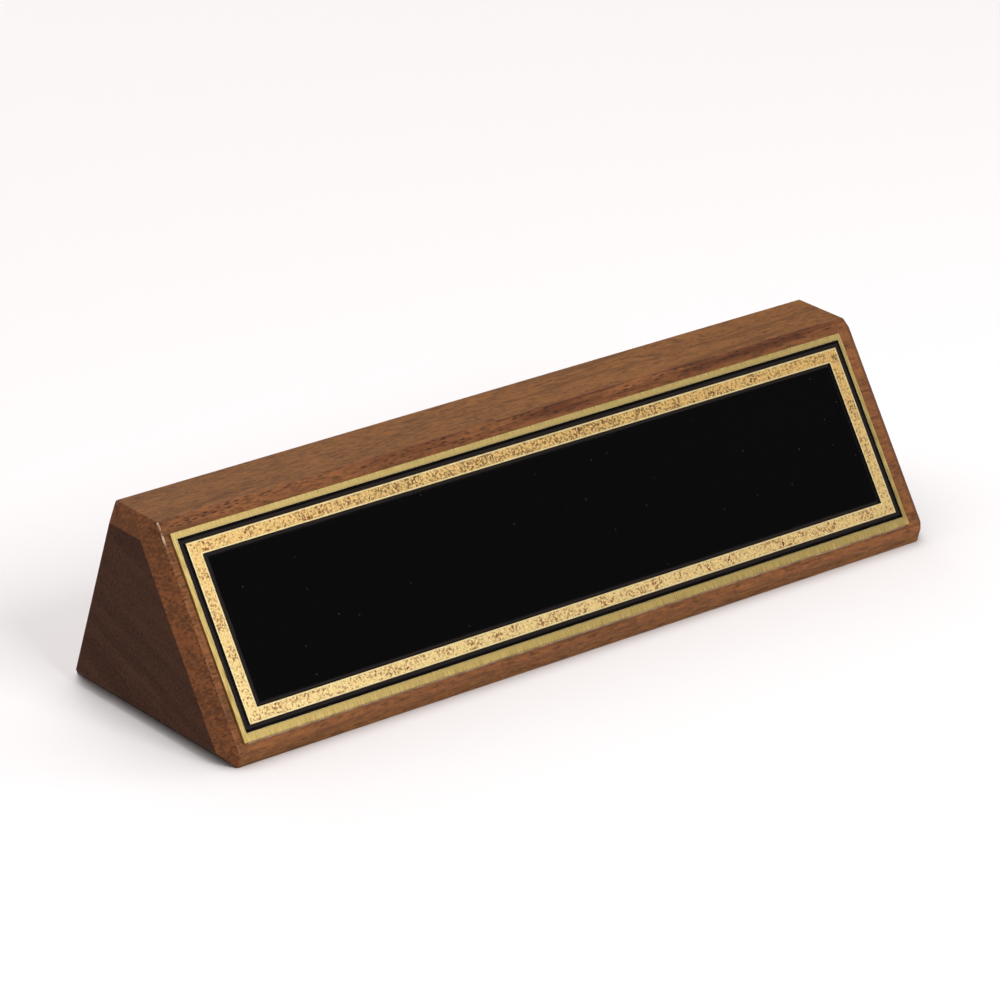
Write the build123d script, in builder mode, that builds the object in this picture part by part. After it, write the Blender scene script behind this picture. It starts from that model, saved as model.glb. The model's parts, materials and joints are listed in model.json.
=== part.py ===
"""Desk name plate: a walnut wedge that carries a brass plate with a patterned border and a black centre.

Millimetres. +X runs along the block, the sloping face looks towards -Y, and the block rests on Z = 0.
"""
import os
from math import hypot

from build123d import *

# Walnut wedge
block_length = 215.9
block_depth = 66.7
block_height = 50.8
top_width = 16.8
back_lean = 19.0
toe_height = 4.0
toe_lean = 1.2
end_chamfer = 3.8
front_round = 0.7
edge_ease = 0.4

# Adhesive sheet behind the plate
adhesive_thickness = 0.2
adhesive_setback = 1.2

# Brass plate, a standard engraving blank, stuck on by hand a little left of the middle and above the toe
plate_length = 203.2
plate_height = 50.8
plate_thickness = 0.6
plate_edge_round = 0.2
plate_shift = -0.9
plate_foot = 2.0

# Coats on the plate, from its edge inwards: the print sits a little high, with the widest margin below it
coat_thickness = 0.1
side_margin = 1.35
top_margin = 1.65
bottom_margin = 2.15
outer_line_width = 1.6
florentine_width = 3.3
inner_line_width = 1.0

# Corners of the wedge's section, as (Y, Z), anticlockwise when seen from +X
front_y = -block_depth / 2
back_y = block_depth / 2
top_back_y = back_y - back_lean
top_front_y = top_back_y - top_width
back_top_corner = (top_back_y, block_height)
front_top_corner = (top_front_y, block_height)
toe_corner = (front_y, toe_height)
section_corners = [(front_y + toe_lean, 0), (back_y, 0), back_top_corner, front_top_corner, toe_corner]
corner_rounds = {front_top_corner: front_round, back_top_corner: edge_ease, toe_corner: edge_ease}

# The sloping face: how far it runs back and rises, and where the plate's middle lies on it
face_run = top_front_y - front_y
face_rise = block_height - toe_height
plate_share = (plate_foot + plate_height / 2) / hypot(face_run, face_rise)
face_plane = Plane(
    origin=(plate_shift, front_y + face_run * plate_share, toe_height + face_rise * plate_share),
    x_dir=(1, 0, 0),
    z_dir=(0, -face_rise, face_run),
)

# Levels above the sloping face where the plate and its coats begin
plate_level = adhesive_thickness
coat_level = plate_level + plate_thickness

# The printed area, and how far each coat's outer edge lies inside it
print_length = plate_length - 2 * side_margin
print_height = plate_height - top_margin - bottom_margin
print_plane = face_plane.offset(coat_level) * Location((0, (bottom_margin - top_margin) / 2, 0))
florentine_setback = outer_line_width
inner_line_setback = florentine_setback + florentine_width
panel_setback = inner_line_setback + inner_line_width


def chamfer_planes():
    """Planes that cut each end of the block at 45 degrees, one for each side of its section."""
    planes = []
    chamfer_x = block_length / 2 - end_chamfer
    for start, end in zip(section_corners, section_corners[1:] + section_corners[:1]):
        outward = (end[1] - start[1], start[0] - end[0])
        side_length = hypot(*outward)
        for end_sign in (-1, 1):
            planes.append(
                Plane(
                    origin=(end_sign * chamfer_x, *start),
                    z_dir=(end_sign, outward[0] / side_length, outward[1] / side_length),
                )
            )
    return planes


def coat_ring(setback, width):
    """A printed ring on the plate's face, given by its distance from the print's edge and its width."""
    outer = (print_length - 2 * setback, print_height - 2 * setback)
    inner = (outer[0] - 2 * width, outer[1] - 2 * width)
    with BuildPart() as ring:
        with BuildSketch(print_plane):
            Rectangle(*outer)
            Rectangle(*inner, mode=Mode.SUBTRACT)
        extrude(amount=coat_thickness)
    return ring.part


# The block: its upper long edges are rounded first, then both ends are chamfered all round
with BuildPart() as walnut_block:
    with BuildSketch(Plane.YZ):
        with BuildLine():
            Polyline(*section_corners, close=True)
        make_face()
    extrude(amount=block_length / 2, both=True)
    for corner, radius in corner_rounds.items():
        long_edges = walnut_block.edges().filter_by(Axis.X)
        fillet(long_edges.sort_by_distance((0, *corner))[0], radius)
    for chamfer_plane in chamfer_planes():
        split(bisect_by=chamfer_plane, keep=Keep.BOTTOM)

# The adhesive sheet stops short of the plate's edge, so that none of it shows
with BuildPart() as plate_adhesive:
    with BuildSketch(face_plane):
        Rectangle(plate_length - 2 * adhesive_setback, plate_height - 2 * adhesive_setback)
    extrude(amount=adhesive_thickness)

# The plate is a sheared blank with square corners and a softened front edge
with BuildPart() as brass_plate:
    with BuildSketch(face_plane.offset(plate_level)):
        Rectangle(plate_length, plate_height)
    extrude(amount=plate_thickness)
    front_face = brass_plate.faces().sort_by(Axis(face_plane.origin, face_plane.z_dir))[-1]
    fillet(front_face.edges(), plate_edge_round)

# The lacquer fills the middle of the plate
with BuildPart() as black_lacquer_panel:
    with BuildSketch(print_plane):
        Rectangle(print_length - 2 * panel_setback, print_height - 2 * panel_setback)
    extrude(amount=coat_thickness)

pieces = {
    "walnut_block": walnut_block.part,
    "plate_adhesive": plate_adhesive.part,
    "brass_plate": brass_plate.part,
    "outer_border_line": coat_ring(0, outer_line_width),
    "florentine_band": coat_ring(florentine_setback, florentine_width),
    "inner_border_line": coat_ring(inner_line_setback, inner_line_width),
    "black_lacquer_panel": black_lacquer_panel.part,
}

os.makedirs("parts", exist_ok=True)
for name, piece in pieces.items():
    piece.label = name
    export_step(piece, f"parts/{name}.step")
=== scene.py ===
"""Dresses the desk name plate: a walnut wedge with a bordered brass plate on its sloping face.

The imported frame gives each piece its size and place. Lengths are millimetres in the classes below and
metres in the meshes. Patterns are worked out in millimetres too.
"""
import json
import logging
from collections.abc import Callable
from dataclasses import dataclass, field
from enum import Enum
from functools import partial
from math import atan2, radians, tan

import bmesh
import bpy
from bpy.types import Material, Node, NodeSocket, NodeTree, Object
from mathutils import Euler, Matrix, Vector


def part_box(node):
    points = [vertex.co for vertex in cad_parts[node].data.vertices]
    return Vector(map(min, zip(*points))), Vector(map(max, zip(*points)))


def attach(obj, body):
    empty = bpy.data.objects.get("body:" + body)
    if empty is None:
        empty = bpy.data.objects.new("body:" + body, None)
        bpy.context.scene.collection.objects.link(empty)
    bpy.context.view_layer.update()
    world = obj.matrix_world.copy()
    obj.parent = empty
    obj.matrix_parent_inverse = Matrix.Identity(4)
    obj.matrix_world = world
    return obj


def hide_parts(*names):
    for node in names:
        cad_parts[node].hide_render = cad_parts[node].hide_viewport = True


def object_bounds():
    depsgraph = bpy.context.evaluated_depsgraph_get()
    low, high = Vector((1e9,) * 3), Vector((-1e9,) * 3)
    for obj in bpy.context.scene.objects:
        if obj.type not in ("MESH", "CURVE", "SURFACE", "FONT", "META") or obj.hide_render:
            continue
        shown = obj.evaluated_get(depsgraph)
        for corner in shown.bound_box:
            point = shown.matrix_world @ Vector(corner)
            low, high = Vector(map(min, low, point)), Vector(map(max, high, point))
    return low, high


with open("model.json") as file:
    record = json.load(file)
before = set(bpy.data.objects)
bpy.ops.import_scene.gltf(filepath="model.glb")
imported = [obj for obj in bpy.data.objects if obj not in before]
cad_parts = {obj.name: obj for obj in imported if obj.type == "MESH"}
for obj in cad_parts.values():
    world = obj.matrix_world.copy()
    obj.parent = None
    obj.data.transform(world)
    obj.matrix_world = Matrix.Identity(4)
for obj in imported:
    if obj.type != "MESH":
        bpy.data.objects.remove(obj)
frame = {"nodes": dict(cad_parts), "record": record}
cad_low, cad_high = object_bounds()

log = logging.getLogger("desk_name_plate")
Size = tuple[float, float, float]
Range = tuple[float, float]
Add = Callable[..., NodeSocket]
BODY = "root"
MM = 0.001
# How far a point may lie from where it is looked for, and how close two points merge.
NEAR = 0.005 * MM
MERGED = 0.001 * MM
# The least share of a face's normal along the way that it looks, with and without its rounded edges.
FACING = 0.9
FLAT = 0.99
# A noise's middle, and where most of its values lie.
MIDDLE = 0.5
USUAL: Range = (0.3, 0.7)
# The foil is metal under a clear coat.
FOIL_METALLIC = 0.7
# Settings of nodes: a range that eases in and out, coordinates divided by a pattern's size, and a mix of two
# colours.
SOFT = {"interpolation_type": "SMOOTHSTEP"}
PATTERN = {"vector_type": "TEXTURE"}
COLOUR = {"data_type": "RGBA", "output": 2}


class WoodCut(Enum):
    """How the saw met the grain, which decides how much oil the surface drank. The end finish is also
    darkened as painted shade, and the edge finish carries a painted highlight.
    """

    LONG = "long_grain"
    BEVEL = "bevelled_end"
    # End grain, with its colour darkened further as painted shade; chamfers facing down take it too, as
    # painted shade.
    END = "end_grain"
    # Not a cut: the eased edge that carries a painted highlight.
    WORN = "worn_edge"


class Side(Enum):
    """The sides of a printed ring, as directions along the plate and up it."""

    LEFT = (-1, 0)
    RIGHT = (1, 0)
    TOP = (0, 1)
    BOTTOM = (0, -1)


def linear(hex_colour: str) -> tuple[float, float, float, float]:
    """Turns an sRGB hex colour into linear RGBA.

    Args:
        hex_colour: six hex digits after a hash.

    Returns:
        The linear colour with full alpha.
    """
    channels = [int(hex_colour[i:i + 2], 16) / 255 for i in (1, 3, 5)]
    return (*[c / 12.92 if c <= 0.04045 else ((c + 0.055) / 1.055) ** 2.4 for c in channels], 1.0)


def feed(node: Node, inputs: dict | tuple) -> None:
    """Sets a node's inputs to values, or links them to the outputs that feed them.

    Args:
        node: the node.
        inputs: the values and outputs, by socket name or number, or else in the sockets' order.
    """
    for key, value in inputs.items() if isinstance(inputs, dict) else enumerate(inputs):
        if isinstance(value, NodeSocket):
            node.id_data.links.new(value, node.inputs[key])
        else:
            node.inputs[key].default_value = value


def add_node(tree: NodeTree, kind: str, inputs: dict | tuple, output: int | str = 0,
             **settings: str | bool) -> NodeSocket:
    """Adds a shader node with its settings, values and links.

    Args:
        tree: the node tree that takes the node.
        kind: the node's type, without its "ShaderNode" start.
        inputs: its values and links, as in feed.
        output: the output that is wanted.
        settings: the node's own properties.

    Returns:
        The wanted output of the new node.
    """
    node = tree.nodes.new("ShaderNode" + kind)
    for name, value in settings.items():
        setattr(node, name, value)
    feed(node, inputs)
    return node.outputs[output]


def new_material(name: str) -> tuple[Material, Add, Node]:
    """Makes a material.

    Args:
        name: the finish's name.

    Returns:
        The material, what adds a node to its tree, and its surface shader.
    """
    material = bpy.data.materials.new(name)
    material.use_nodes = True
    tree = material.node_tree
    return material, partial(add_node, tree), tree.nodes["Principled BSDF"]


def clear_selection() -> None:
    """Deselects every object, so that an operator acts on new work alone."""
    bpy.ops.object.select_all(action="DESELECT")


def select_only(shape: Object) -> None:
    """Makes a shape in object mode the one that operators act on.

    Args:
        shape: the shape.
    """
    clear_selection()
    shape.select_set(True)
    bpy.context.view_layer.objects.active = shape


@dataclass
class PlateFace:
    """The plate's face as a frame: X along the plate, Y up it and Z out of it, from the bare centre."""

    mount: str = "name_face"
    matrix: Matrix = field(init=False)

    def __post_init__(self) -> None:
        """Reads the face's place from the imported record."""
        found = next(m for m in frame["record"]["mounts"] if m["name"] == self.mount)
        outward = Vector(found["axis"])
        along = Vector((1, 0, 0))
        self.matrix = Matrix((along, outward.cross(along), outward)).transposed().to_4x4()
        self.matrix.translation = Vector(found["pos_m"])

    def coordinates(self, add: Add) -> NodeSocket:
        """Adds what a material needs to read millimetres on the face.

        Args:
            add: adds a node to the material's tree.

        Returns:
            The place on the face.
        """
        inputs = {"Vector": add("TexCoord", {}, "Object"), "Location": self.matrix.translation,
                  "Rotation": self.matrix.to_euler(), "Scale": (MM, MM, MM)}
        return add("Mapping", inputs, **PATTERN)

    def points(self, node: str) -> list[Vector]:
        """A node's points as the face sees them, in metres."""
        inverse = self.matrix.inverted()
        return [inverse @ vertex.co for vertex in frame["nodes"][node].data.vertices]

    def reach(self, node: str) -> tuple[Vector, Vector]:
        """Finds a node's lowest and highest corner as the face sees it.

        Args:
            node: the node's name.

        Returns:
            The two corners, in metres.
        """
        seen = self.points(node)
        return (Vector([min(p[i] for p in seen) for i in range(3)]),
                Vector([max(p[i] for p in seen) for i in range(3)]))

    def place(self, shape: Object) -> None:
        """Moves a shape that was modelled flat onto the face, with its place in its mesh.

        Args:
            shape: the finished shape, in object mode.
        """
        select_only(shape)
        shape.matrix_world = self.matrix
        bpy.ops.object.transform_apply(location=True, rotation=True, scale=True)


# Black walnut, sawn, sanded and oiled, which leaves a low sheen. Long grain is warm brown, mottled by its
# fibres, with short dark pores, streaks and thin growth lines along it. A redder layer lies just under the
# sloping face; its colour is painted paler towards its left end as painted light, and it is darker and more
# porous in the narrow strip left of the plate. Along that face's upper edge pores gather, and a dark vein
# deepens towards the right. End grain drinks more oil, so it is darker, and its colour is darkened further as
# painted shade. A painted highlight runs along the edge between the sloping face and the left chamfer. The
# pores are drawn about twice as wide as real ones, so that they show.
@dataclass(frozen=True)
class Walnut:
    """The block's oiled walnut, as one cut of it shows it.

    A size is that of one spot of a pattern, along the grain and across it. A span or gap is the part of a
    noise over which a mark comes in. Plate-side and upper pores are how much closer and darker pores get in
    the strip left of the plate and along the upper edge.
    """

    cut: WoodCut
    pale: str
    deep: str
    red_pale: str
    red_deep: str
    pore: str = "#351E13"
    vein: str = "#5A3019"
    # The colour of the painted highlight along the edge between the sloping face and the left chamfer.
    worn: str = "#C8AE93"
    roughness: Range = (0.5, 0.64)
    gloss: float = 0.18
    drift_size: Size = (70.0, 16.0, 16.0)
    drift_reach: float = 2.2
    ring_size: Size = (170.0, 50.0, 5.0)
    ring_tilt: float = 0.3
    ring_share: float = 0.6
    fibre_size: Size = (4.0, 0.7, 0.7)
    fleck_size: Size = (0.9, 0.65, 0.65)
    fleck_share: float = 0.55
    tone_reach: float = 0.37
    red_depth: Range = (-1.5, -0.3)
    # Painted light: the redder layer's colour gets paler towards the left end, over this run.
    paler_left: float = 0.14
    paler_run: Range = (-100.0, 20.0)
    # The narrow strip left of the plate: where it starts, how much darker it is, and how many more pores it
    # has.
    handled_run: Range = (-100.6, -101.4)
    handled_dark: float = 0.12
    handled_pores: Range = (0.2, 0.4)
    upper_pores: Range = (0.15, 0.67)
    brown_pores: float = 0.4
    red_pores: float = 0.33
    pore_size: Size = (2.4, 0.45, 0.45)
    pore_edge: Range = (0.52, 0.2)
    pore_lot: Range = (0.2, 0.7)
    pore_depth: float = 0.06
    pore_relief: float = 0.5
    cluster_size: Size = (20.0, 3.0, 3.0)
    cluster_span: Range = (0.36, 0.6)
    streak_size: Size = (3.5, 0.8, 0.8)
    streak_span: Range = (0.55, 0.65)
    streak_share: float = 0.45
    growth_size: Size = (120.0, 40.0, 4.0)
    growth_width: float = 0.03
    growth_gap: Range = (0.36, 0.56)
    growth_share: float = 0.4
    vein_size: Size = (24.0, 2.0, 2.0)
    vein_depth: Range = (-0.9, -0.3)
    vein_rise: Range = (25.3, 26.9)
    vein_run: Range = (-70.0, 10.0)
    vein_gap: Range = (0.36, 0.62)
    vein_share: Range = (0.2, 0.95)
    # Where the painted highlight along the edge is bright, how faint it is below, and how it breaks.
    worn_height: Range = (45.4, 47.6)
    worn_below: float = 0.1
    worn_patch: float = 1.6
    worn_gap: Range = (0.38, 0.56)

    def place(self, add: Add) -> NodeSocket:
        """Adds the block's own coordinates, in millimetres."""
        return add("Mapping", {"Vector": add("TexCoord", {}, "Object"), "Scale": (1 / MM, 1 / MM, 1 / MM)})

    def grain(self, add: Add) -> NodeSocket:
        """Adds the block's coordinates, bent a little so that the grain wanders.

        Args:
            add: adds a node to the material's tree.

        Returns:
            The bent coordinates, in millimetres.
        """
        straight = self.place(add)
        wide = add("Mapping", {"Vector": straight, "Scale": self.drift_size}, **PATTERN)
        drift = add("TexNoise", {"Vector": wide, "Scale": 1.0, "Detail": 1.0}, "Color")
        centred = add("VectorMath", (drift, (MIDDLE, MIDDLE, MIDDLE)), operation="SUBTRACT")
        across = (0.0, self.drift_reach, self.drift_reach)
        return add("VectorMath", (centred, across, straight), operation="MULTIPLY_ADD")

    def noises(self, add: Add, grain: NodeSocket) -> list[NodeSocket]:
        """Adds the soft noises that the wood's marks come from.

        Args:
            add: adds a node to the material's tree.
            grain: coordinates along and across the grain.

        Returns:
            The noise of rings, growth lines, fibres, flecks, streaks, clusters of pores, and gaps.
        """
        tilted = add("Mapping", {"Vector": grain, "Rotation": (self.ring_tilt, 0, 0)}, **PATTERN)
        return [
            add("TexNoise", {"Vector": add("Mapping", {"Vector": place, "Scale": size}, **PATTERN),
                             "Scale": 1.0, "Detail": detail})
            for place, size, detail in (
                (tilted, self.ring_size, 2.0), (tilted, self.growth_size, 1.0), (grain, self.fibre_size, 3.0),
                (grain, self.fleck_size, 2.0), (grain, self.streak_size, 2.0),
                (grain, self.cluster_size, 1.0), (grain, self.vein_size, 2.0))]

    def plain_wood(self, add: Add, tone: NodeSocket, red: NodeSocket) -> NodeSocket:
        """Adds the wood's colour without its pores and lines.

        Args:
            add: adds a node to the material's tree.
            tone: the sum of the noises that mottle the wood.
            red: how far each place lies in the redder layer.

        Returns:
            The colour.
        """
        middle = (self.ring_share + 1.0 + self.fleck_share) * MIDDLE
        share = add("MapRange", (tone, middle - self.tone_reach, middle + self.tone_reach), **SOFT)
        brown_wood, red_wood = [
            add("Mix", {0: share, 6: linear(deep), 7: linear(pale)}, **COLOUR)
            for deep, pale in ((self.deep, self.pale), (self.red_deep, self.red_pale))]
        return add("Mix", {0: red, 6: brown_wood, 7: red_wood}, **COLOUR)

    def pores(self, add: Add, grain: NodeSocket, cluster: NodeSocket) -> NodeSocket:
        """Adds short pores of uneven strength, gathered in clusters.

        Args:
            add: adds a node to the material's tree.
            grain: coordinates along and across the grain.
            cluster: a soft noise that is high where pores gather.

        Returns:
            How much of a pore there is at each place.
        """
        short = add("Mapping", {"Vector": grain, "Scale": self.pore_size}, **PATTERN)
        far = add("TexVoronoi", {"Vector": short, "Scale": 1.0}, "Distance")
        lot = add("SeparateColor", (far.node.outputs["Color"],))
        spot, some, here = [
            add("MapRange", (value, *span), **SOFT)
            for value, span in ((far, self.pore_edge), (lot, self.pore_lot), (cluster, self.cluster_span))]
        strength = add("Math", (some, here), operation="MULTIPLY")
        return add("Math", (spot, strength), operation="MULTIPLY")

    def growth_lines(self, add: Add, growth: NodeSocket, patch: NodeSocket) -> NodeSocket:
        """Adds thin lines where one year's growth ends, long and here and there broken.

        Args:
            add: adds a node to the material's tree.
            growth: a soft noise that is very long along the grain.
            patch: a soft noise that breaks the lines.

        Returns:
            How dark the lines are at each place.
        """
        from_line = add("Math", (growth, MIDDLE), operation="SUBTRACT")
        off = add("Math", (from_line,), operation="ABSOLUTE")
        thin = add("MapRange", (off, self.growth_width, 0.0, 0.0, self.growth_share), **SOFT)
        broken = add("MapRange", (patch, *self.growth_gap), **SOFT)
        return add("Math", (thin, broken), operation="MULTIPLY")

    def veined(self, add: Add, on_face: NodeSocket, depth: NodeSocket,
               patch: NodeSocket) -> tuple[NodeSocket, NodeSocket]:
        """Adds the sloping face's upper edge and the vein along it, which deepens towards the right.

        Args:
            add: adds a node to the material's tree.
            on_face: millimetres on the plate's face.
            depth: millimetres out of the wood's sloping face.
            patch: a soft noise that breaks the vein.

        Returns:
            How near the upper edge each place is, and how dark the vein is there.
        """
        along = add("SeparateXYZ", (on_face,), "X")
        high = add("MapRange", (along.node.outputs["Y"], *self.vein_rise))
        run = add("MapRange", (along, *self.vein_run, *self.vein_share))
        shallow = add("MapRange", (depth, *self.vein_depth), **SOFT)
        broken = add("MapRange", (patch, *self.vein_gap), **SOFT)
        upper = add("Math", (high, shallow), operation="MULTIPLY")
        uneven = add("Math", (run, broken), operation="MULTIPLY")
        return upper, add("Math", (upper, uneven), operation="MULTIPLY")

    def rubbed(self, add: Add) -> NodeSocket:
        """Adds a painted highlight along the edge: bright near the top, faint and broken below.

        Args:
            add: adds a node to the material's tree.

        Returns:
            How strong the painted highlight is at each place.
        """
        place = self.place(add)
        height = add("SeparateXYZ", (place,), "Z")
        cloud = add("TexNoise", {"Vector": place, "Scale": 1 / self.worn_patch, "Detail": 3.0})
        high = add("MapRange", (height, *self.worn_height, self.worn_below), **SOFT)
        patch = add("MapRange", (cloud, *self.worn_gap), **SOFT)
        return add("Math", (high, patch), operation="MULTIPLY")

    def material(self, face: PlateFace) -> Material:
        """Builds the wood's material for its cut.

        Args:
            face: the plate's face, which tells how deep a point lies under the sloping face.

        Returns:
            The material.
        """
        material, add, shader = new_material("walnut_" + self.cut.value)
        grain = self.grain(add)
        ring, growth, fibre, fleck, streak, crowd, patch = self.noises(add, grain)
        on_face = face.coordinates(add)
        along = add("SeparateXYZ", (on_face,), "X")
        wood_level = face.reach("plate_adhesive")[0].z / MM
        depth = add("Math", (along.node.outputs["Z"], wood_level), operation="SUBTRACT")
        red = add("MapRange", (depth, *self.red_depth), **SOFT)
        both = add("Math", (ring, self.ring_share, fibre), operation="MULTIPLY_ADD")
        mottle = add("Math", (fleck, self.fleck_share, both), operation="MULTIPLY_ADD")
        # Painted light: paler towards the left end. The strip left of the plate is darker, with more pores.
        leftward = add("MapRange", (along, *self.paler_run, self.paler_left, 0.0))
        handled = add("MapRange", (along, *self.handled_run))
        shade = add("Math", (handled, -self.handled_dark, leftward), operation="MULTIPLY_ADD")
        tone = add("Math", (shade, red, mottle), operation="MULTIPLY_ADD")
        colour = self.plain_wood(add, tone, red)
        open_pores = add("MapRange", (red, 0.0, 1.0, self.brown_pores, self.red_pores))
        porous = [(add("Math", (handled, red), operation="MULTIPLY"), self.handled_pores)]
        if self.cut is WoodCut.LONG:
            upper, vein = self.veined(add, on_face, depth, patch)
            colour = add("Mix", {0: vein, 6: colour, 7: linear(self.vein)}, **COLOUR)
            porous.append((upper, self.upper_pores))
        for here, more in porous:
            crowd, open_pores = [
                add("Math", (here, share, plain), operation="MULTIPLY_ADD")
                for share, plain in zip(more, (crowd, open_pores))]
        pore = self.pores(add, grain, crowd)
        dark = add("Math", (pore, open_pores), operation="MULTIPLY")
        streaks = add("MapRange", (streak, *self.streak_span, 0.0, self.streak_share), **SOFT)
        for line in (streaks, self.growth_lines(add, growth, patch)):
            dark = add("Math", (line, dark), operation="MAXIMUM")
        colour = add("Mix", {0: dark, 6: colour, 7: linear(self.pore)}, **COLOUR)
        # A painted highlight along the eased edge, bright near the top, faint and broken below.
        if self.cut is WoodCut.WORN:
            colour = add("Mix", {0: self.rubbed(add), 6: colour, 7: linear(self.worn)}, **COLOUR)
        hollow = add("Math", (pore, -1.0, fibre), operation="MULTIPLY_ADD")
        feed(shader, {
            "Base Color": colour,
            "Roughness": add("MapRange", (fibre, *USUAL, *self.roughness)),
            "Normal": add("Bump", {"Height": hollow, "Strength": self.pore_relief,
                                   "Distance": self.pore_depth * MM}),
            "Specular IOR Level": self.gloss})
        return material


# Rolled brass sheet, brushed across its width and lacquered, which gives a soft gold with fine cross lines.
# Its colour is painted a little darker towards the lower edge, as painted shade. Real brush lines are finer
# than a pixel, so they are drawn about four times as coarse.
@dataclass(frozen=True)
class SatinBrass:
    """The plate's brushed brass."""

    name: str = "satin_brass"
    pale: str = "#E2C987"
    deep: str = "#B49956"
    roughness: Range = (0.38, 0.5)
    brush_size: Size = (0.22, 4.0, 8.0)
    brush_depth: float = 0.02
    brush_relief: float = 0.18
    # Painted shade: how much darker the colour gets at the lower edge, over this rise.
    dull_share: float = 0.2
    dull_rise: Range = (-20.0, 20.0)

    def material(self, face: PlateFace) -> Material:
        """Builds the brushed metal's material.

        Args:
            face: the plate's face, which the brush lines cross.

        Returns:
            The material.
        """
        material, add, shader = new_material(self.name)
        place = face.coordinates(add)
        lines = add("Mapping", {"Vector": place, "Scale": self.brush_size}, **PATTERN)
        brush = add("TexNoise", {"Vector": lines, "Scale": 1.0, "Detail": 1.0})
        even = add("MapRange", (brush, *USUAL))
        # Painted shade: the colour darkens towards the lower edge.
        up = add("SeparateXYZ", (place,), "Y")
        dull = add("MapRange", (up, *self.dull_rise, self.dull_share, 0.0))
        share = add("Math", (even, dull), operation="SUBTRACT", use_clamp=True)
        feed(shader, {
            "Base Color": add("Mix", {0: share, 6: linear(self.deep), 7: linear(self.pale)}, **COLOUR),
            "Roughness": add("MapRange", (brush, *USUAL, *self.roughness)),
            "Normal": add("Bump", {"Height": brush, "Strength": self.brush_relief,
                                   "Distance": self.brush_depth * MM}),
            "Metallic": 1.0})
        return material


# Gold foil, hot-stamped and printed with brown curls and specks, which gives the look of old engraved
# gilding. The curls are taller than they are wide. The print is thinner and redder towards the left end and
# the bottom, and thinner at the right end. The foil's colour is painted paler towards the lower left, as
# painted light.
@dataclass(frozen=True)
class FlorentineGold:
    """The border band's marked gold foil.

    A span or gap is the part of a noise over which a mark comes in. A value by millimetre is how much the
    print thins, or the foil gets paler as painted light, for each millimetre along the plate and up it.
    """

    name: str = "florentine_gold_foil"
    pale: str = "#FBEAAC"
    deep: str = "#DEA44A"
    mark: str = "#6E4C2A"
    red_mark: str = "#7A3A12"
    roughness: Range = (0.42, 0.55)
    curl_size: Size = (1.1, 1.7, 1.4)
    curl_twist: float = 1.2
    stroke_width: Range = (0.11, 0.03)
    stroke_gap: Range = (0.34, 0.5)
    speck_size: float = 0.68
    speck_span: Range = (0.5, 0.64)
    speck_share: float = 0.9
    cloud_size: float = 4.0
    cloud_span: Range = (0.32, 0.56)
    tint_size: float = 0.45
    tint_span: Range = (0.22, 0.78)
    mark_depth: float = 0.03
    mark_relief: float = 0.3
    thinner_by_mm: Size = (-0.012, -0.05, 0.0)
    thin_span: Range = (-0.5, 0.0)
    thin_drop: float = 0.05
    thin_right: Range = (30.0, 95.0)
    # Painted light: how much paler the foil gets for each millimetre.
    paler_by_mm: Size = (-0.0007, -0.006, 0.0)

    def marks(self, add: Add, place: NodeSocket, thin: NodeSocket) -> NodeSocket:
        """Adds the brown marks: curled strokes in clusters, with loose specks between them.

        Args:
            add: adds a node to the material's tree.
            place: millimetres on the plate's face.
            thin: how thin the print is at each place.

        Returns:
            How brown the foil is at each place.
        """
        curled = add("Mapping", {"Vector": place, "Scale": self.curl_size}, **PATTERN)
        curl = add("TexNoise", {"Vector": curled, "Scale": 1.0, "Detail": 1.0, "Distortion": self.curl_twist})
        from_line = add("Math", (curl, MIDDLE), operation="SUBTRACT")
        off = add("Math", (from_line,), operation="ABSOLUTE")
        cloud, speck = [
            add("Math", (thin, -self.thin_drop,
                         add("TexNoise", {"Vector": place, "Scale": 1 / size, "Detail": detail})),
                operation="MULTIPLY_ADD")
            for size, detail in ((self.cloud_size, 2.0), (self.speck_size, 3.0))]
        stroke, cluster, broken = [
            add("MapRange", (value, *span), **SOFT)
            for value, span in ((off, self.stroke_width), (cloud, self.cloud_span), (speck, self.stroke_gap))]
        loose = add("MapRange", (speck, *self.speck_span, 0.0, self.speck_share), **SOFT)
        curls = add("Math", (stroke, cluster), operation="MULTIPLY")
        curls = add("Math", (curls, broken), operation="MULTIPLY")
        return add("Math", (curls, loose), operation="MAXIMUM")

    def material(self, face: PlateFace) -> Material:
        """Builds the foil's material.

        Args:
            face: the plate's face, which carries the foil.

        Returns:
            The material.
        """
        material, add, shader = new_material(self.name)
        place = face.coordinates(add)
        # Painted light: the foil is paler towards the lower left.
        paler, fade = [
            add("VectorMath", (place, by_mm), "Value", operation="DOT_PRODUCT")
            for by_mm in (self.paler_by_mm, self.thinner_by_mm)]
        thin = add("MapRange", (fade, *self.thin_span))
        along = add("SeparateXYZ", (place,), "X")
        right = add("MapRange", (along, *self.thin_right))
        mark = self.marks(add, place, add("Math", (thin, right), operation="MAXIMUM"))
        tint = add("TexNoise", {"Vector": place, "Scale": 1 / self.tint_size, "Detail": 2.0})
        even = add("MapRange", (tint, *self.tint_span))
        share = add("Math", (even, paler), use_clamp=True)
        ink, ground = [
            add("Mix", {0: factor, 6: linear(low), 7: linear(high)}, **COLOUR)
            for factor, low, high in ((thin, self.mark, self.red_mark), (share, self.deep, self.pale))]
        feed(shader, {
            "Base Color": add("Mix", {0: mark, 6: ground, 7: ink}, **COLOUR),
            "Roughness": add("MapRange", (mark, 0.0, 1.0, *self.roughness)),
            "Normal": add("Bump", {"Height": mark, "Strength": self.mark_relief,
                                   "Distance": self.mark_depth * MM}, invert=True),
            "Metallic": FOIL_METALLIC})
        return material


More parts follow.
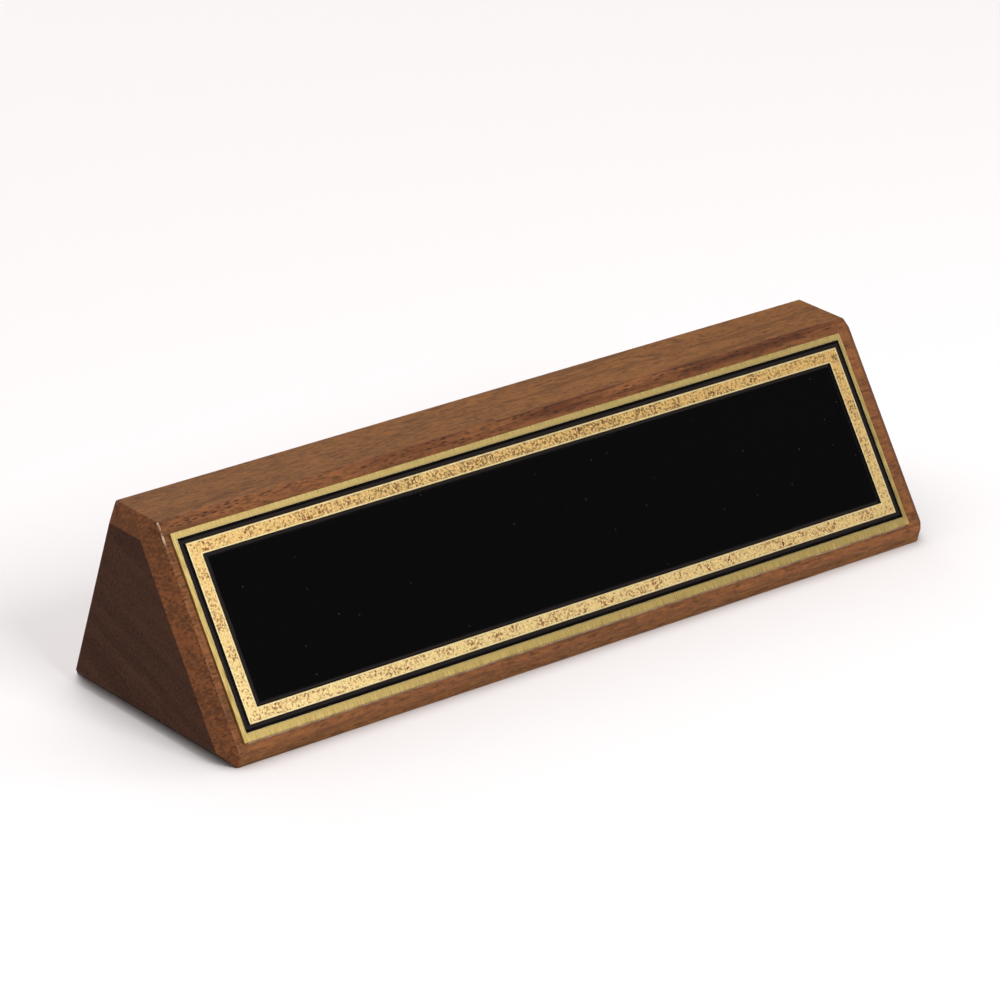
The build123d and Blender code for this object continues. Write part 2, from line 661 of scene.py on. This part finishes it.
@dataclass(frozen=True)
class CloudedCoat:
    """A coat of two close tones, which a soft noise mixes. A span is the part of the noise that is used."""

    name: str
    deep: str
    pale: str
    roughness: Range
    cloud_size: Size
    detail: float = 2.0
    tone_span: Range = USUAL
    rough_span: Range = USUAL
    metallic: float = 0.0
    gloss: float = 0.5

    def material(self, face: PlateFace) -> Material:
        """Builds the coat's material.

        Args:
            face: the plate's face, which the coat lies on or under.

        Returns:
            The material.
        """
        material, add, shader = new_material(self.name)
        place = add("Mapping", {"Vector": face.coordinates(add), "Scale": self.cloud_size}, **PATTERN)
        cloud = add("TexNoise", {"Vector": place, "Scale": 1.0, "Detail": self.detail})
        share = add("MapRange", (cloud, *self.tone_span))
        feed(shader, {
            "Base Color": add("Mix", {0: share, 6: linear(self.deep), 7: linear(self.pale)}, **COLOUR),
            "Roughness": add("MapRange", (cloud, *self.rough_span, *self.roughness)),
            "Metallic": self.metallic,
            "Specular IOR Level": self.gloss})
        return material


# The foil's plain rim, polished where the stamp pressed hardest, which gives a pale, faintly cloudy gold
# line.
GOLD_RIM = CloudedCoat("polished_gold_rim", "#F2D898", "#FBE9B4", (0.32, 0.42), (1.1, 1.1, 1.1),
                       tone_span=(0.35, 0.65), metallic=FOIL_METALLIC)

# Screen-printed black ink, which is deep and smooth where it is full, and half matt and brownish where it is
# thin and the brass shows through.
FULL_INK, THIN_INK = [
    CloudedCoat(name, deep, pale, roughness, cloud_size=(14.0, 0.3, 2.0), gloss=0.12)
    for name, deep, pale, roughness in (
        ("full_black_ink", "#020202", "#070606", (0.2, 0.32)),
        ("thin_black_ink", "#130D0B", "#211815", (0.45, 0.6)))]

# Clear acrylic adhesive, cast as a sheet, which looks milky and slightly cloudy where it is seen edge on.
ADHESIVE = CloudedCoat("acrylic_adhesive", "#7C6751", "#AC977D", (0.3, 0.5), (2.0, 2.0, 2.0), detail=3.0,
                       tone_span=(0.35, 0.65), rough_span=(0.0, 1.0))


# Black lacquer, sprayed and baked, which gives a deep mirror with a faint ripple and a little dust on it.
@dataclass(frozen=True)
class BlackLacquer:
    """The plate's bare black middle."""

    name: str = "black_lacquer"
    colour: str = "#050506"
    dust: str = "#26272B"
    roughness: Range = (0.1, 0.7)
    gloss: float = 0.4
    dust_spacing: float = 5.5
    dust_size: float = 0.21
    dust_core: float = 0.07
    dust_lot: Range = (0.8, 1.0)
    ripple_size: float = 2.8
    ripple_depth: float = 0.01
    ripple_relief: float = 0.15

    def material(self, face: PlateFace) -> Material:
        """Builds the lacquer's material.

        Args:
            face: the plate's face, which carries the lacquer.

        Returns:
            The material.
        """
        material, add, shader = new_material(self.name)
        place = face.coordinates(add)
        far = add("TexVoronoi", {"Vector": place, "Scale": 1 / self.dust_spacing}, "Distance",
                  voronoi_dimensions="2D")
        lot = add("SeparateColor", (far.node.outputs["Color"],))
        rim, core = self.dust_size / self.dust_spacing, self.dust_core / self.dust_spacing
        spot = add("MapRange", (far, rim, core), **SOFT)
        some = add("MapRange", (lot, *self.dust_lot))
        speck = add("Math", (spot, some), operation="MULTIPLY")
        ripple = add("TexNoise", {"Vector": place, "Scale": 1 / self.ripple_size, "Detail": 1.0})
        feed(shader, {
            "Base Color": add("Mix", {0: speck, 6: linear(self.colour), 7: linear(self.dust)}, **COLOUR),
            "Roughness": add("MapRange", (speck, 0.0, 1.0, *self.roughness)),
            "Normal": add("Bump", {"Height": ripple, "Strength": self.ripple_relief,
                                   "Distance": self.ripple_depth * MM}),
            "Specular IOR Level": self.gloss})
        return material


Finish = Walnut | SatinBrass | FlorentineGold | CloudedCoat | BlackLacquer


def start_shape(name: str, size: Vector) -> Object:
    """Gives the primitive that was just added its name and size, and opens it for editing.

    Args:
        name: the piece's name.
        size: its length, width and height in metres.

    Returns:
        The shape, in edit mode.
    """
    shape = bpy.context.active_object
    shape.name = shape.data.name = name
    shape.scale = size
    bpy.ops.object.transform_apply(location=True, rotation=True, scale=True)
    bpy.ops.object.mode_set(mode="EDIT")
    return shape


def choose(shape: Object, kind: str, wanted: Callable[..., bool]) -> None:
    """Selects the faces or edges of a shape in edit mode that a test accepts.

    Args:
        shape: the object in edit mode.
        kind: "FACE" or "EDGE".
        wanted: a test of one face or edge, by its place or normal.
    """
    bpy.ops.mesh.select_mode(type=kind)
    bpy.ops.mesh.select_all(action="DESELECT")
    mesh = bmesh.from_edit_mesh(shape.data)
    chosen = [element for element in (mesh.faces if kind == "FACE" else mesh.edges) if wanted(element)]
    for element in chosen:
        element.select_set(True)
    mesh.select_flush_mode()
    bmesh.update_edit_mesh(shape.data)


def paint(shape: Object, number: int, wanted: Callable[[bmesh.types.BMFace], bool]) -> None:
    """Gives the faces of a shape in edit mode that a test accepts one of its materials.

    Args:
        shape: the object in edit mode.
        number: the material's number.
        wanted: a test of one face.
    """
    mesh = bmesh.from_edit_mesh(shape.data)
    for face in mesh.faces:
        if wanted(face):
            face.material_index = number
    bmesh.update_edit_mesh(shape.data)


def beside_selection(face: bmesh.types.BMFace) -> bool:
    """Whether a face lies next to a selected face and isn't selected itself."""
    return not face.select and any(near.select for edge in face.edges for near in edge.link_faces)


def finish_shape(shape: Object, smooth_deg: float = 35.0) -> None:
    """Closes the shape, smooths its rounded edges and keeps its flat faces flat.

    Args:
        shape: the object in edit mode.
        smooth_deg: the sharpest edge that is shaded smooth.
    """
    bpy.ops.mesh.select_all(action="SELECT")
    bpy.ops.mesh.remove_doubles(threshold=MERGED)
    bpy.ops.mesh.normals_make_consistent(inside=False)
    bpy.ops.object.mode_set(mode="OBJECT")
    select_only(shape)
    bpy.ops.object.shade_smooth_by_angle(angle=radians(smooth_deg))
    modifier = shape.modifiers.new("flat_faces", "WEIGHTED_NORMAL")
    modifier.keep_sharp = True
    bpy.ops.object.modifier_apply(modifier=modifier.name)


@dataclass
class Piece:
    """A piece of the name plate, with the plain solid that it stands for and the record's material slot."""

    face: PlateFace
    name: str
    node: str
    slot: str

    def start_block(self, low: Vector, high: Vector) -> Object:
        """Adds a block between two corners and opens it for editing.

        Args:
            low: its lowest corner, in metres.
            high: its highest corner.

        Returns:
            The block, in edit mode.
        """
        clear_selection()
        bpy.ops.mesh.primitive_cube_add(size=1, location=(low + high) / 2)
        return start_shape(self.name, high - low)

    def coat(self, shape: Object, *finishes: Finish) -> None:
        """Gives a shape the materials of its finishes, in order."""
        for finish in finishes:
            shape.data.materials.append(finish.material(self.face))

    def dress(self, shape: Object) -> None:
        """Sets the finished piece on the frame in place of its plain solid and logs it.

        Args:
            shape: the finished piece.
        """
        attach(shape, BODY)
        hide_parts(self.node)
        log.info("%s: %d faces, stands for %s", shape.name, len(shape.data.polygons), self.node)


@dataclass
class WalnutBlock(Piece):
    """The solid walnut wedge, sawn from a bar: its upper front edge rounded, its ends chamfered all round."""

    name: str = "walnut_wedge"
    node: str = "walnut_block"
    slot: str = "walnut"
    top_width: float = 16.8
    back_lean: float = 19.0
    toe_height: float = 4.0
    toe_lean: float = 1.2
    end_chamfer: float = 3.8
    front_round: float = 0.7
    round_segments: int = 6
    edge_ease: float = 0.25
    ease_segments: int = 3
    sharp_deg: float = 20.0
    bevel_lean: Range = (0.3, 0.95)
    finishes: tuple[Walnut, ...] = (
        Walnut(WoodCut.LONG, "#8E5D31", "#653F20", "#945D35", "#6B4325"),
        Walnut(WoodCut.BEVEL, "#7E4E31", "#5E3D29", "#7E4E31", "#5E3D29", roughness=(0.7, 0.85),
               gloss=0.03, red_pores=0.55, tone_reach=0.17, fleck_share=0.35, streak_share=0.15),
        # The end finish: darker end grain, darkened further as painted shade.
        Walnut(WoodCut.END, "#523628", "#40291E", "#523628", "#40291E", pore="#291A13", roughness=(0.7, 0.85),
               gloss=0.06, red_pores=0.28, ring_share=1.0, tone_reach=0.27, fleck_share=0.9),
        # The eased left edge, with a painted highlight.
        Walnut(WoodCut.WORN, "#8E5D31", "#653F20", "#945D35", "#6B4325", gloss=0.03),
    )

    def section(self) -> list[Vector]:
        """Finds the corners of the wedge's section from its box.

        Returns:
            The base's front and back, the top's back and front, and the toe, anticlockwise when seen from +X.
        """
        low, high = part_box(self.node)
        back_top = high.y - self.back_lean * MM
        front_top = back_top - self.top_width * MM
        return [Vector((0, low.y + self.toe_lean * MM, low.z)), Vector((0, high.y, low.z)),
                Vector((0, back_top, high.z)), Vector((0, front_top, high.z)),
                Vector((0, low.y, low.z + self.toe_height * MM))]

    def outward(self, start: Vector, end: Vector) -> Vector:
        """The direction out of the wedge from the side between two corners."""
        return Vector((0, end.z - start.z, start.y - end.y)).normalized()

    def saw(self, point: Vector, normal: Vector) -> None:
        """Saws away what lies in front of a plane and closes the cut."""
        bpy.ops.mesh.select_all(action="SELECT")
        bpy.ops.mesh.bisect(plane_co=point, plane_no=normal, use_fill=True, clear_outer=True)

    def build(self) -> Object:
        """Saws the wedge, rounds its front edge, chamfers its ends and eases its edges.

        Returns:
            The finished block.
        """
        low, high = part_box(self.node)
        shape = self.start_block(low, high)
        corners = self.section()
        base_front, base_back, top_back, top_front, toe = corners
        slope = self.outward(top_front, toe)
        self.saw(toe, slope)
        self.saw(toe, self.outward(toe, base_front))
        self.saw(top_back, self.outward(base_back, top_back))
        self.round_front(shape, top_front, toe)
        for start, end in zip(corners, corners[1:] + corners[:1]):
            for x, sign in ((low.x, -1), (high.x, 1)):
                on_edge = start + Vector((x - sign * self.end_chamfer * MM, 0, 0))
                self.saw(on_edge, self.outward(start, end) + Vector((sign, 0, 0)))
        self.coat(shape, *self.finishes)
        self.paint_cuts(shape)
        choose(shape, "EDGE", lambda e: e.calc_face_angle() > radians(self.sharp_deg))
        bpy.ops.mesh.bevel(offset=self.edge_ease * MM, segments=self.ease_segments, affect="EDGES")
        self.paint_worn_edge(shape, low.x + self.end_chamfer * MM, toe, slope)
        finish_shape(shape)
        return shape

    def round_front(self, shape: Object, corner: Vector, toe: Vector) -> None:
        """Rounds the long edge between the top and the sloping face.

        Args:
            shape: the block in edit mode.
            corner: where the top meets the sloping face.
            toe: where the sloping face ends at the bottom.
        """
        setback = self.front_round * MM * tan(atan2(corner.z - toe.z, corner.y - toe.y) / 2)
        choose(shape, "EDGE", lambda e: all((v.co - corner).yz.length < NEAR for v in e.verts))
        bpy.ops.mesh.bevel(offset=setback, segments=self.round_segments, affect="EDGES")

    def finish_number(self, cut: WoodCut) -> int:
        """The place of a cut's finish among the finishes."""
        return [finish.cut for finish in self.finishes].index(cut)

    def paint_cuts(self, shape: Object) -> None:
        """Gives each face the finish of its cut: along the grain, bevelled across it, or straight across it.
        The chamfers that face down take the dark end finish, as painted shade.

        Args:
            shape: the block in edit mode.
        """
        least, most = self.bevel_lean
        end = self.finish_number(WoodCut.END)
        paint(shape, self.finish_number(WoodCut.BEVEL), lambda f: abs(f.normal.x) > least)
        paint(shape, end, lambda f: abs(f.normal.x) > most)
        # Painted shade: the chamfers that face down take the dark end finish.
        paint(shape, end, lambda f: abs(f.normal.x) > least and f.normal.z < -least)

    def paint_worn_edge(self, shape: Object, edge_x: float, toe: Vector, slope: Vector) -> None:
        """Gives the eased edge between the sloping face and the left chamfer its finish with the painted
        highlight.

        Args:
            shape: the block in edit mode.
            edge_x: where that edge lies along the block.
            toe: a point on the sloping face.
            slope: the direction out of the sloping face.
        """
        ease = self.edge_ease * MM
        paint(shape, self.finish_number(WoodCut.WORN),
              lambda f: abs(f.calc_center_median().x - edge_x) < ease
              and abs((f.calc_center_median() - toe).dot(slope)) < ease)


@dataclass
class Sheet(Piece):
    """A sheet or film on the sloping face, whose front edge is rounded."""

    edge_round: float
    edge_segments: int

    def soften(self, shape: Object) -> None:
        """Rounds the edge round the front of the sheet, which is in edit mode and lies flat."""
        choose(shape, "FACE", lambda f: f.normal.z > FACING)
        bpy.ops.mesh.bevel(offset=self.edge_round * MM, segments=self.edge_segments, affect="EDGES")


@dataclass
class AdhesiveSheet(Sheet):
    """The adhesive behind the plate, with a fine bead pressed out along the plate's lower edge."""

    name: str = "adhesive_film"
    node: str = "plate_adhesive"
    slot: str = "adhesive"
    edge_round: float = 0.06
    edge_segments: int = 2
    bead: float = 0.28
    finish: CloudedCoat = ADHESIVE

    def build(self) -> Object:
        """Lays the sheet, draws its lower edge out past the plate and softens it.

        Returns:
            The finished sheet.
        """
        low, high = self.face.reach(self.node)
        plate_low, _ = self.face.reach("brass_plate")
        shape = self.start_block(low, high)
        self.coat(shape, self.finish)
        choose(shape, "FACE", lambda f: f.normal.y < -FACING)
        bpy.ops.transform.translate(value=(0, plate_low.y - self.bead * MM - low.y, 0))
        self.soften(shape)
        finish_shape(shape)
        self.face.place(shape)
        return shape


@dataclass
class BrassPlate(Sheet):
    """The engraving blank: square cornered brass sheet, with a bright painted highlight round the print."""

    name: str = "brass_sheet"
    node: str = "brass_plate"
    slot: str = "satin_brass"
    edge_round: float = 0.2
    edge_segments: int = 3
    line_width: float = 0.22
    sheet: SatinBrass = SatinBrass()
    # A bright line at the print's edge, a painted highlight.
    line: SatinBrass = SatinBrass("bright_brass_line", "#EAD69C", "#DCC180", (0.26, 0.36))

    def build(self) -> Object:
        """Shears the sheet, softens its edge and marks the bright painted highlight where the print begins.

        Returns:
            The finished plate.
        """
        low, high = self.face.reach(self.node)
        print_low, print_high = self.face.reach("outer_border_line")
        line = self.line_width * MM
        shape = self.start_block(low, high)
        self.coat(shape, self.sheet, self.line)
        self.soften(shape)
        choose(shape, "FACE", lambda f: f.normal.z > FLAT)
        bpy.ops.mesh.inset(thickness=line)
        inset = high - low - Vector((2, 2, 0)) * (self.edge_round * MM + line)
        wanted = print_high - print_low + Vector((2, 2, 0)) * line
        bpy.ops.transform.resize(value=(wanted.x / inset.x, wanted.y / inset.y, 1),
                                 center_override=(low + high) / 2)
        shift = (print_low + print_high - low - high) / 2
        bpy.ops.transform.translate(value=(shift.x, shift.y, 0))
        bpy.ops.mesh.inset(thickness=line)
        paint(shape, 1, beside_selection)
        finish_shape(shape)
        self.face.place(shape)
        return shape


@dataclass
class PrintedRing(Piece):
    """A ring printed on the plate, with a second print in it that is not quite in register.

    The second print's near and far edges are distances from the ring's outer edge, side by side.
    """

    ground: CloudedCoat
    second: CloudedCoat | FlorentineGold
    near: dict[Side, float]
    far: dict[Side, float]

    def build(self) -> Object:
        """Insets a sheet into three nested rings, opens its middle and gives it the coat's thickness.

        Returns:
            The finished ring.
        """
        low, high = self.face.reach(self.node)
        third = (max(p.x for p in self.face.points(self.node) if p.x < 0) - low.x) / 3
        middle = (low + high) / 2
        clear_selection()
        bpy.ops.mesh.primitive_plane_add(size=1, location=(middle.x, middle.y, high.z))
        shape = start_shape(self.name, high - low)
        self.coat(shape, self.ground, self.second)
        choose(shape, "FACE", lambda f: True)
        for number in (0, 1, 0):  # the ground on both sides of the second print
            bpy.ops.mesh.inset(thickness=third)
            paint(shape, number, beside_selection)
        bpy.ops.mesh.delete(type="ONLY_FACE")
        for old, new in ((third, self.near), (2 * third, self.far)):
            for side in Side:
                self.move_edge(shape, side, old, new[side] * MM)
        bpy.ops.mesh.select_all(action="SELECT")
        bpy.ops.mesh.extrude_region_move(TRANSFORM_OT_translate={"value": (0, 0, low.z - high.z)})
        finish_shape(shape)
        self.face.place(shape)
        return shape

    def move_edge(self, shape: Object, side: Side, old: float, new: float) -> None:
        """Moves one side of a nested ring.

        Args:
            shape: the ring's flat sheet in edit mode.
            side: the side that moves.
            old: its distance from the ring's outer edge, in metres.
            new: the distance that it gets.
        """
        low, high = self.face.reach(self.node)
        outward = Vector((*side.value, 0))
        edge = max(low.dot(outward), high.dot(outward))
        choose(shape, "EDGE", lambda e: all(abs(edge - v.co.dot(outward) - old) < NEAR for v in e.verts))
        bpy.ops.transform.translate(value=outward * (old - new))


@dataclass
class LacquerPanel(Sheet):
    """The bare middle of the plate: a film of black lacquer whose edges are drawn down softly."""

    name: str = "lacquer_film"
    node: str = "black_lacquer_panel"
    slot: str = "black_lacquer"
    edge_round: float = 0.08
    edge_segments: int = 3
    finish: BlackLacquer = BlackLacquer()

    def build(self) -> Object:
        """Lays the film and rounds its edge.

        Returns:
            The finished film.
        """
        shape = self.start_block(*self.face.reach(self.node))
        self.coat(shape, self.finish)
        self.soften(shape)
        finish_shape(shape)
        self.face.place(shape)
        return shape


@dataclass(frozen=True)
class Softbox:
    """One soft studio light, aimed at the middle of the object. Its place and size are metres."""

    name: str
    place: Size
    size: Range
    power: float

    def build(self, target: Vector) -> None:
        """Hangs the light and turns it to the target.

        Args:
            target: the point that the light looks at.
        """
        lamp = bpy.data.lights.new(self.name, "AREA")
        lamp.shape = "RECTANGLE"
        lamp.size, lamp.size_y = self.size
        lamp.energy = self.power
        light = bpy.data.objects.new(self.name, lamp)
        light.location = Vector(self.place)
        light.rotation_euler = (target - light.location).to_track_quat("-Z", "Y").to_euler()
        bpy.context.scene.collection.objects.link(light)


@dataclass
class Studio:
    """A pale floor, soft light from above and in front, and the camera at the photograph's angle."""

    floor_size: float = 12.0
    paper: str = "#F8F4F4"
    paper_roughness: float = 0.9
    surround_glow: float = 0.06
    softboxes: tuple[Softbox, ...] = (
        Softbox("overhead_softbox", (-0.3, 0.9, 2.4), (5.0, 5.0), 110.0),
        Softbox("front_softbox", (0.0, -1.05, 0.75), (0.6, 0.5), 9.2),
        Softbox("right_softbox", (1.4, -0.5, 0.6), (0.5, 0.5), 3.0),
        Softbox("back_softbox", (0.3, 2.2, 0.9), (1.4, 0.9), 5.0),
    )
    camera_place: Size = (-717.5, -910.1, 525.0)
    camera_yaw: float = 38.13
    camera_pitch: float = 23.21
    focal_px: float = 5233.3
    frame_px: float = 1000.0
    sensor: float = 36.0

    def build(self) -> None:
        """Lays the floor, hangs the lights and sets the camera."""
        self.lay_floor()
        self.light_surround()
        for softbox in self.softboxes:
            softbox.build((cad_low + cad_high) / 2)
        self.set_camera()
        bpy.context.scene.view_settings.view_transform = "Standard"

    def lay_floor(self) -> None:
        """Lays a wide matt floor, level with the block's underside. Its size is metres."""
        clear_selection()
        bpy.ops.mesh.primitive_plane_add(size=self.floor_size, location=(0, 0, cad_low.z))
        floor = bpy.context.active_object
        floor.name = "studio_floor"
        material, _, shader = new_material("matt_pale_paper")
        feed(shader, {"Base Color": linear(self.paper), "Roughness": self.paper_roughness})
        floor.data.materials.append(material)

    def light_surround(self) -> None:
        """Gives the surround a dim glow, and the look of pale paper where the camera sees it."""
        world = bpy.data.worlds.new("studio_surround")
        world.use_nodes = True
        bpy.context.scene.world = world
        add = partial(add_node, world.node_tree)
        seen = add("LightPath", {}, "Is Camera Ray")
        feed(world.node_tree.nodes["Background"], {
            "Color": linear(self.paper),
            "Strength": add("MapRange", (seen, 0.0, 1.0, self.surround_glow, 1.0))})

    def set_camera(self) -> None:
        """Sets the camera where the corners of the block and of the plate in the photograph put it."""
        lens = bpy.data.cameras.new("photo_camera")
        lens.sensor_width = self.sensor
        lens.lens = self.sensor * self.focal_px / self.frame_px
        camera = bpy.data.objects.new("photo_camera", lens)
        camera.location = Vector(self.camera_place) * MM
        camera.rotation_euler = Euler((radians(90 - self.camera_pitch), 0, radians(-self.camera_yaw)))
        bpy.context.scene.collection.objects.link(camera)
        bpy.context.scene.camera = camera


def by_side(left: float, right: float, top: float, bottom: float) -> dict[Side, float]:
    """Names four distances by the side that they belong to."""
    return {Side.LEFT: left, Side.RIGHT: right, Side.TOP: top, Side.BOTTOM: bottom}


def main() -> None:
    """Builds the classes in order."""
    logging.basicConfig(level=logging.INFO, format="%(name)s %(message)s")
    face = PlateFace()
    pieces = (
        WalnutBlock(face),
        AdhesiveSheet(face),
        BrassPlate(face),
        PrintedRing(face, "black_line", "outer_border_line", "border_ink", FULL_INK, THIN_INK,
                    by_side(0.08, 0.65, 0.7, 0.7), by_side(0.85, 1.52, 1.52, 1.52)),
        PrintedRing(face, "florentine_ring", "florentine_band", "florentine_gold", GOLD_RIM, FlorentineGold(),
                    by_side(0.35, 0.35, 0.35, 0.35), by_side(2.95, 2.95, 2.95, 2.95)),
        PrintedRing(face, "inner_line", "inner_border_line", "border_ink", FULL_INK, THIN_INK,
                    by_side(0.04, 0.85, 0.2, 0.25), by_side(0.95, 0.95, 0.8, 0.8)),
        LacquerPanel(face),
    )
    for piece in pieces:
        piece.dress(piece.build())
    Studio().build()


if __name__ == "__main__":
    main()
